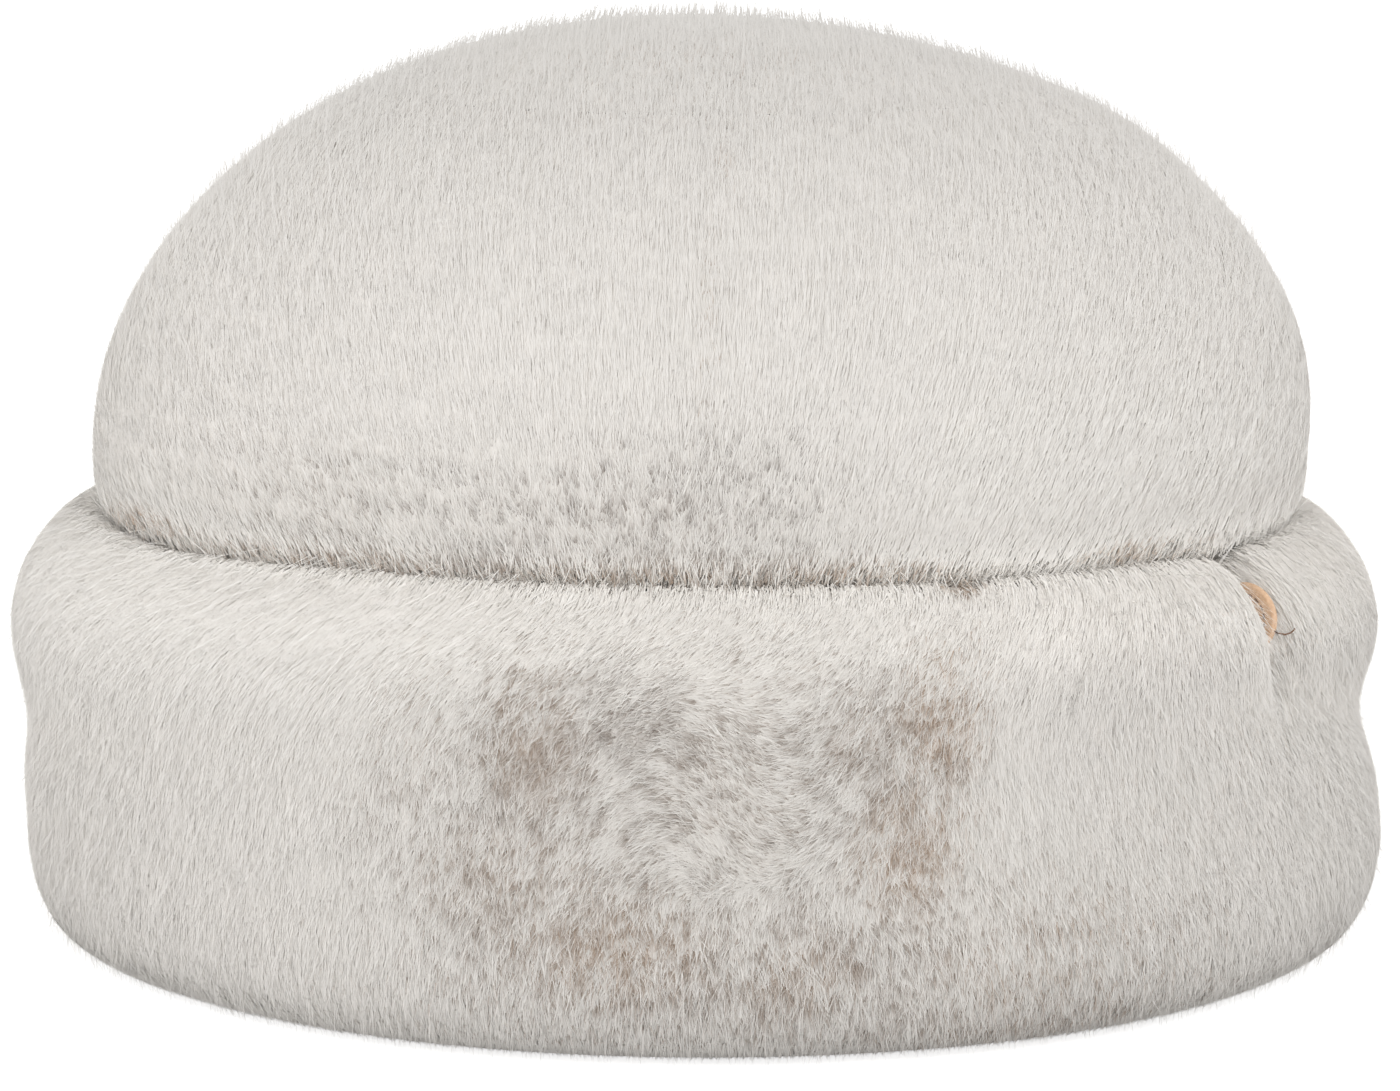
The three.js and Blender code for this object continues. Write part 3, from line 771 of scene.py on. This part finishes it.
CUFF_PATCHES = [
    {"x": -27, "z": 51, "wide": 9, "high": 12, "dark": 0.8, "warm": 0.6},
    {"x": -14, "z": 57, "wide": 10, "high": 6, "dark": 0.55, "warm": 0.3},
    {"x": 2, "z": 50, "wide": 26, "high": 20, "dark": 0.42, "warm": 0.35},
    {"x": 37, "z": 53, "wide": 8, "high": 11, "dark": 0.55, "warm": 1.0},
    {"x": 33, "z": 36, "wide": 10, "high": 14, "dark": 0.52, "warm": 1.0},
    {"x": -14, "z": 19, "wide": 18, "high": 10, "dark": 0.62, "warm": 0.9},
    {"x": -28, "z": 30, "wide": 20, "high": 14, "dark": 0.34, "warm": 0.8},
    {"x": 15, "z": 14, "wide": 16, "high": 8, "dark": 0.45, "warm": 0.8},
    {"x": -44, "z": 46, "wide": 18, "high": 18, "dark": 0.25, "warm": 0.5},
    {"x": 0, "z": 16, "wide": 60, "high": 20, "dark": 0.24, "warm": 0.6},
    {"x": 25, "z": 52, "wide": 9, "high": 10, "dark": 0.36, "warm": 0.7},
    {"x": 54, "z": 12, "wide": 30, "high": 16, "dark": 0.24, "warm": 1.0},
    {"x": 50, "z": 2, "wide": 26, "high": 5, "dark": 0.25, "warm": 1.0},
    {"x": 43, "z": 74.5, "wide": 3, "high": 1.2, "dark": 0.6, "warm": 1.0},
    {"x": 85, "z": 40, "wide": 30, "high": 30, "dark": 0.1, "warm": 1.0},
]


WAVE_LINE = [
    {"x": -30, "slope": 0.9},
    {"x": -18, "slope": 0.6},
    {"x": -8, "slope": 0.0},
    {"x": -1, "slope": -1.1},
    {"x": 5, "slope": -1.3},
    {"x": 10, "slope": -0.3},
    {"x": 17, "slope": 0.5},
    {"x": 27, "slope": 1.0},
    {"x": 40, "slope": 1.6},
]
WAVE_X = 6
WAVE_HEIGHT = 46
WAVE_HALF_WIDTH = 30
WAVE_HALF_HEIGHT = 18
BRUSHED_SHARE = 0.75


def comb_cuff(points, outward):
    """The pile runs from the groove over the crest and down; in front it lies in a brushed wave."""
    ring = unit(np.stack([-points[:, 1], points[:, 0], np.zeros(len(points))], axis=1))
    down = -unit(np.cross(outward, ring))
    across = points[:, 0] / MM
    height = points[:, 2] / MM
    front = smooth(-points[:, 1] / (60 * MM))
    brushed = BRUSHED_SHARE * front * smooth((height - 40) / 25) * smooth((76 - height) / 7)
    brushed *= smooth((95 - across) / 35)
    way = down - ring * brushed[:, None]
    aside = (across - WAVE_X) / WAVE_HALF_WIDTH
    above = (height - WAVE_HEIGHT) / WAVE_HALF_HEIGHT
    wave = np.exp(-(aside**4) - above**4) * front
    slope = np.interp(across, [row["x"] for row in WAVE_LINE], [row["slope"] for row in WAVE_LINE])
    along = unit(-ring + down * slope[:, None])
    way = way * (1 - wave)[:, None] + along * wave[:, None]
    return unit(way - outward * (way * outward).sum(axis=1, keepdims=True))


LEFT_ROLL_LIFT = 0.4


def cuff_faces(points, normals):
    """The pile's stand mostly follows the section. Behind the crest it is lit as the crest is, and
    the left end of the roll is lit as if it looked a little more up and forward."""
    radial = np.stack([points[:, 0], points[:, 1] / HEAD_DEPTH_RATIO, np.zeros(len(points))], axis=1)
    radial = unit(radial)
    out = (normals * radial).sum(axis=1, keepdims=True)
    level = radial * out
    level[:, 2] = normals[:, 2]
    outward = unit(0.35 * normals + 0.65 * level)
    behind = smooth((0.5 - out[:, 0]) / 0.9)
    lit = outward.copy()
    lit[:, 2] += 1.8 * behind
    left_roll = smooth((points[:, 0] / MM - 84) / 14) * smooth((points[:, 2] / MM - 48) / 14)
    lit[:, 1] -= LEFT_ROLL_LIFT * left_roll
    lit[:, 2] += LEFT_ROLL_LIFT * left_roll
    return outward, unit(lit)


CUFF_FUR_START = 9 * MM
CREST_START = 50 * MM


def keep_cuff(low, high):
    """Keeps the cuff's outer faces between two angles: its foot, wall and roll, into the groove."""
    def keep(middles, facing):
        radius = np.hypot(middles[:, 0], middles[:, 1] / HEAD_DEPTH_RATIO)
        angle = np.arctan2(middles[:, 0], -middles[:, 1])
        crest = (facing[:, 2] > 0.1) & (middles[:, 2] > CREST_START)
        furred = (radius > CUFF_SEAT + CUFF_FUR_START) | crest
        return furred & (facing[:, 2] > -0.97) & (angle >= low) & (angle < high)
    return keep


def cuff_painted_light(points):
    """Painted light in the cuff's pile colour: paler over the roll, most of all at its left end and where it
    turns into the groove, and darker low down as painted shade, most of all on the left."""
    radius = np.hypot(points[:, 0], points[:, 1] / HEAD_DEPTH_RATIO)
    inward = smooth((CUFF_SEAT / MM + 16 - radius / MM) / 8)
    low = smooth((68 - points[:, 2] / MM) / 14)
    left = smooth((points[:, 0] / MM - 38) / 25)
    return 1.04 - 0.052 * low + (0.02 - 0.05 * low) * left + 0.02 * inward


def cuff_guards(points):
    """More of the pile stands loose along the crest, where it fills the groove."""
    reach = np.hypot(points[:, 0], points[:, 1] / HEAD_DEPTH_RATIO) - CUFF_SEAT
    return GUARD_SHARE + 0.36 * smooth((16 * MM - reach) / (5 * MM)) * smooth((points[:, 2] / MM - 66) / 6)


TAB_HALF_LENGTH = 6 * MM
TAB_REACH = 6 * MM
TAB_ROOT = 4 * MM
TAB_THICKNESS = 1.6 * MM
TAB_CLEARANCE = 0.4 * MM
TAB_FACE_CLEARANCE = 0.2 * MM
tab_low, tab_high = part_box("label")
tab_middle = (tab_low + tab_high) / 2
tab_outward = Vector((tab_middle.x, tab_middle.y, 0)).normalized()
tab_seat = tab_middle - tab_outward * (TAB_REACH - TAB_ROOT) / 2


def clear_of_tab(roots, tips):
    """True for the hairs that don't run into the leather tab."""
    free = np.ones(len(roots), dtype=bool)
    for share in (0.0, 0.5, 1.0):
        off = roots + (tips - roots) * share - np.array(tab_seat)
        out = off[:, 0] * tab_outward.x + off[:, 1] * tab_outward.y
        aside = off[:, 1] * tab_outward.x - off[:, 0] * tab_outward.y
        within = np.abs(off[:, 2]) < TAB_HALF_LENGTH + TAB_CLEARANCE
        within &= np.abs(out) < TAB_REACH + TAB_CLEARANCE
        free &= ~(within & (np.abs(aside) < TAB_THICKNESS / 2 + TAB_FACE_CLEARANCE))
    return free


cuff_pelt = make_cuff()
dress_pelt(cuff_pelt, CUFF_PATCHES, GROOVE_HEIGHT - FUR_BELOW_GROOVE)
# The pile's paleness by place is painted light and shade in its colour.
cuff_pile = {"comb": comb_cuff, "faces": cuff_faces, "clear": clear_of_tab, "patches": CUFF_PATCHES,
             "painted_light": cuff_painted_light, "guards": cuff_guards}
QUARTERS = [
    {"name": "cuff_fur_front_right", "low": -90, "high": 0, "hairs": 145000},
    {"name": "cuff_fur_front_left", "low": 0, "high": 90, "hairs": 145000},
    {"name": "cuff_fur_back_right", "low": -180, "high": -90, "hairs": 85000},
    {"name": "cuff_fur_back_left", "low": 90, "high": 180, "hairs": 85000},
]
cuff_pieces = [cuff_pelt]
for seed, row in enumerate(QUARTERS, start=21):
    keep = keep_cuff(math.radians(row["low"]), math.radians(row["high"]))
    fur = grow_fur(row["name"], cuff_pelt, row["hairs"], keep, cuff_pile, seed)
    fur.data.materials.append(fibre_look)
    cuff_pieces.append(fur)
for piece in cuff_pieces:
    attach(piece, "root")
    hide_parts("cuff")

# Leather tab. A half-oval of tan leather caught in the cuff's seam and standing upright in it, with a
# row of brown stitches along its edge on both sides. It is bare.
TAB_EDGE = 0.35 * MM
STITCH_INSET = 1.7 * MM
STITCH_LENGTH = 1.1 * MM
STITCH_WIDTH = 0.36 * MM
STITCHES = 8
STITCH_ARC = 140
THREAD_WIDTH = 0.28 * MM
THREAD_START = Vector((4.3, -3.7, 0)) * MM
THREAD_STEPS = [
    {"out": 4.6, "up": -1.2, "aside": 0.1},
    {"out": 1.7, "up": -0.8, "aside": -0.3},
    {"out": 0.9, "up": -0.3, "aside": -0.8},
    {"out": 0.5, "up": 0.2, "aside": -1.2},
    {"out": 0.1, "up": 0.5, "aside": -1.1},
]


def place_by_tab(piece):
    """Turns a piece made flat at the origin into the tab's upright plane, at its seat."""
    piece.rotation_euler = (math.pi / 2, 0, math.atan2(tab_outward.y, tab_outward.x))
    piece.location = tab_seat
    piece.select_set(True)
    bpy.context.view_layer.objects.active = piece
    bpy.ops.object.transform_apply(location=True, rotation=True, scale=True)
    piece.select_set(False)


def make_tab():
    bpy.ops.mesh.primitive_circle_add(vertices=64, radius=1, fill_type="NGON", location=(0, 0, 0))
    tab = bpy.context.object
    tab.name = "leather_tab"
    for vertex in tab.data.vertices:
        vertex.co.x *= TAB_REACH if vertex.co.x > 0 else TAB_ROOT
        vertex.co.y *= TAB_HALF_LENGTH
        vertex.co.z = -TAB_THICKNESS / 2
    bpy.ops.object.mode_set(mode="EDIT")
    bpy.ops.mesh.select_all(action="SELECT")
    bpy.ops.mesh.extrude_region_move(TRANSFORM_OT_translate={"value": (0, 0, TAB_THICKNESS)})
    bpy.ops.mesh.select_all(action="SELECT")
    bpy.ops.mesh.normals_make_consistent(inside=False)
    bpy.ops.object.mode_set(mode="OBJECT")
    bevel = tab.modifiers.new("edge", "BEVEL")
    bevel.width = TAB_EDGE
    bevel.segments = 3
    bevel.angle_limit = math.radians(50)
    bpy.ops.object.modifier_apply(modifier=bevel.name)
    bpy.ops.object.shade_smooth_by_angle(angle=math.radians(40))
    place_by_tab(tab)
    return tab


def make_stitches():
    beads = []
    for step in range(STITCHES):
        turn = math.radians(-STITCH_ARC / 2 + STITCH_ARC * step / (STITCHES - 1))
        across = (TAB_REACH - STITCH_INSET) * math.cos(turn)
        along = (TAB_HALF_LENGTH - STITCH_INSET) * math.sin(turn)
        slope = math.atan2((TAB_HALF_LENGTH - STITCH_INSET) * math.cos(turn),
                           -(TAB_REACH - STITCH_INSET) * math.sin(turn))
        for face in (-1, 1):
            bpy.ops.mesh.primitive_uv_sphere_add(segments=12, ring_count=8, radius=1, rotation=(0, 0, slope),
                                                 location=(across, along, face * TAB_THICKNESS / 2))
            bead = bpy.context.object
            bead.scale = (STITCH_LENGTH / 2, STITCH_WIDTH / 2, STITCH_WIDTH / 2)
            beads.append(bead)
    for bead in beads:
        bead.select_set(True)
    bpy.ops.object.transform_apply(location=True, rotation=True, scale=True)
    bpy.ops.object.join()
    stitches = bpy.context.object
    stitches.name = "tab_stitches"
    bpy.ops.object.shade_smooth()
    place_by_tab(stitches)
    return stitches


def make_loose_thread():
    """The end of the sewing thread, lying out over the fur beside the tab."""
    bpy.ops.mesh.primitive_circle_add(vertices=8, radius=THREAD_WIDTH / 2, fill_type="NGON",
                                      location=THREAD_START)
    thread = bpy.context.object
    thread.name = "tab_loose_thread"
    bpy.ops.object.mode_set(mode="EDIT")
    bpy.ops.mesh.select_all(action="SELECT")
    for step in THREAD_STEPS:
        way = Vector((step["out"], step["up"], step["aside"])) * MM
        bpy.ops.mesh.extrude_region_move(TRANSFORM_OT_translate={"value": way})
    bpy.ops.mesh.select_all(action="SELECT")
    bpy.ops.mesh.normals_make_consistent(inside=False)
    bpy.ops.object.mode_set(mode="OBJECT")
    bpy.ops.object.shade_smooth_by_angle(angle=math.radians(60))
    place_by_tab(thread)
    return thread


def make_leather():
    """Tan vegetable-tanned leather: a pebbled grain, uneven dye, rubbed paler on the high spots."""
    material, nodes, links, shader = start_material("tab_leather", 0.62, 0.35)
    place = nodes.new("ShaderNodeTexCoord")
    grain = nodes.new("ShaderNodeTexVoronoi")
    grain.feature = "SMOOTH_F1"
    grain.inputs["Scale"].default_value = 1900
    links.new(place.outputs["Object"], grain.inputs["Vector"])
    dye = nodes.new("ShaderNodeTexNoise")
    dye.inputs["Scale"].default_value = 420
    dye.inputs["Detail"].default_value = 3
    links.new(place.outputs["Object"], dye.inputs["Vector"])
    tan = mix_colours(nodes, links, dye.outputs["Fac"], (0.5, 0.27, 0.15), (0.78, 0.5, 0.31))
    rubbed = mix_colours(nodes, links, grain.outputs["Distance"], (0.86, 0.6, 0.4), tan)
    links.new(rubbed, shader.inputs["Base Color"])
    bump = nodes.new("ShaderNodeBump")
    bump.inputs["Strength"].default_value = 0.5
    bump.inputs["Distance"].default_value = 0.15 * MM
    links.new(grain.outputs["Distance"], bump.inputs["Height"])
    links.new(bump.outputs["Normal"], shader.inputs["Normal"])
    return material


def make_thread():
    """Brown waxed sewing thread with its twist showing."""
    material, nodes, links, shader = start_material("brown_thread", 0.55, 0.4)
    place = nodes.new("ShaderNodeTexCoord")
    twist = nodes.new("ShaderNodeTexWave")
    twist.bands_direction = "DIAGONAL"
    twist.inputs["Scale"].default_value = 0.314 / (0.3 * MM)
    links.new(place.outputs["Object"], twist.inputs["Vector"])
    strands = mix_colours(nodes, links, twist.outputs["Fac"], (0.12, 0.06, 0.035), (0.26, 0.14, 0.08))
    links.new(strands, shader.inputs["Base Color"])
    return material


leather_tab = make_tab()
leather_tab.data.materials.append(make_leather())
tab_stitches = make_stitches()
loose_thread = make_loose_thread()
thread_look = make_thread()
for piece in (tab_stitches, loose_thread):
    piece.data.materials.append(thread_look)
for piece in (leather_tab, tab_stitches, loose_thread):
    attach(piece, "root")
    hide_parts("label")

# Studio. A white floor of paper, seen pure white, in a room lit softly from the front and both sides
# and less from overhead.
bpy.ops.mesh.primitive_plane_add(size=12, location=(0, 0, 0))
studio_floor = bpy.context.object
studio_floor.name = "studio_floor"
floor_look, floor_nodes, floor_links, floor_shader = start_material("studio_floor", 0.9, 0.2)
floor_shader.inputs["Base Color"].default_value = (0.93, 0.93, 0.93, 1)
floor_shader.inputs["Emission Color"].default_value = (1, 1, 1, 1)
sight = floor_nodes.new("ShaderNodeLightPath")
seen = add_math(floor_nodes, floor_links, "MULTIPLY", sight.outputs["Is Camera Ray"], 0.75)
floor_links.new(seen, floor_shader.inputs["Emission Strength"])
studio_floor.data.materials.append(floor_look)

world = bpy.data.worlds.new("studio")
world.use_nodes = True
sky = world.node_tree.nodes
sky_links = world.node_tree.links
look = sky.new("ShaderNodeTexCoord")
parts = sky.new("ShaderNodeSeparateXYZ")
sky_links.new(look.outputs["Generated"], parts.inputs["Vector"])
height = add_math(sky, sky_links, "SUBTRACT", parts.outputs["Z"], 0.4)
off_band = add_math(sky, sky_links, "ABSOLUTE", height)
band = sky.new("ShaderNodeMapRange")
band.interpolation_type = "SMOOTHSTEP"
sky_links.new(off_band, band.inputs["Value"])
band.inputs["From Max"].default_value = 0.9
band.inputs["To Min"].default_value = 1.25
band.inputs["To Max"].default_value = 0.0
front = sky.new("ShaderNodeMapRange")
sky_links.new(parts.outputs["Y"], front.inputs["Value"])
front.inputs["From Min"].default_value = -1.0
front.inputs["To Min"].default_value = 1.0
front.inputs["To Max"].default_value = 0.35
softbox = add_math(sky, sky_links, "MULTIPLY", band.outputs["Result"], front.outputs["Result"])
LEFT_LIGHT = 0.21
RIGHT_LIGHT = 0.27
ROOM_LIGHT = 0.25
left_side = add_math(sky, sky_links, "MULTIPLY", parts.outputs["X"], LEFT_LIGHT)
right_side = add_math(sky, sky_links, "MULTIPLY", parts.outputs["X"], -RIGHT_LIGHT)
sides = add_math(sky, sky_links, "MAXIMUM", left_side, right_side)
room = add_math(sky, sky_links, "ADD", sides, ROOM_LIGHT)
strength = add_math(sky, sky_links, "ADD", softbox, room)
sky["Background"].inputs["Color"].default_value = (1, 1, 1, 1)
sky_links.new(strength, sky["Background"].inputs["Strength"])
bpy.context.scene.world = world
bpy.context.scene.view_settings.view_transform = "Standard"

camera_data = bpy.data.cameras.new("camera")
camera = bpy.data.objects.new("camera", camera_data)
CAMERA_PLACE = Vector((0, -1.2, 0.242))
CAMERA_TARGET = Vector((0, 0, 0.0677))
camera.location = CAMERA_PLACE
camera.rotation_mode = "QUATERNION"
camera.rotation_quaternion = (CAMERA_TARGET - CAMERA_PLACE).to_track_quat("-Z", "Y")
SENSOR_WIDTH = 36
PHOTO_WIDTH = 1400
PIXEL_SIZE = 0.000176
SIGHT = PIXEL_SIZE * PHOTO_WIDTH
camera_data.sensor_width = SENSOR_WIDTH
camera_data.lens = SENSOR_WIDTH * (CAMERA_TARGET - CAMERA_PLACE).length / SIGHT
camera_data.clip_start = 0.05
camera_data.clip_end = 20
bpy.context.scene.collection.objects.link(camera)
bpy.context.scene.camera = camera
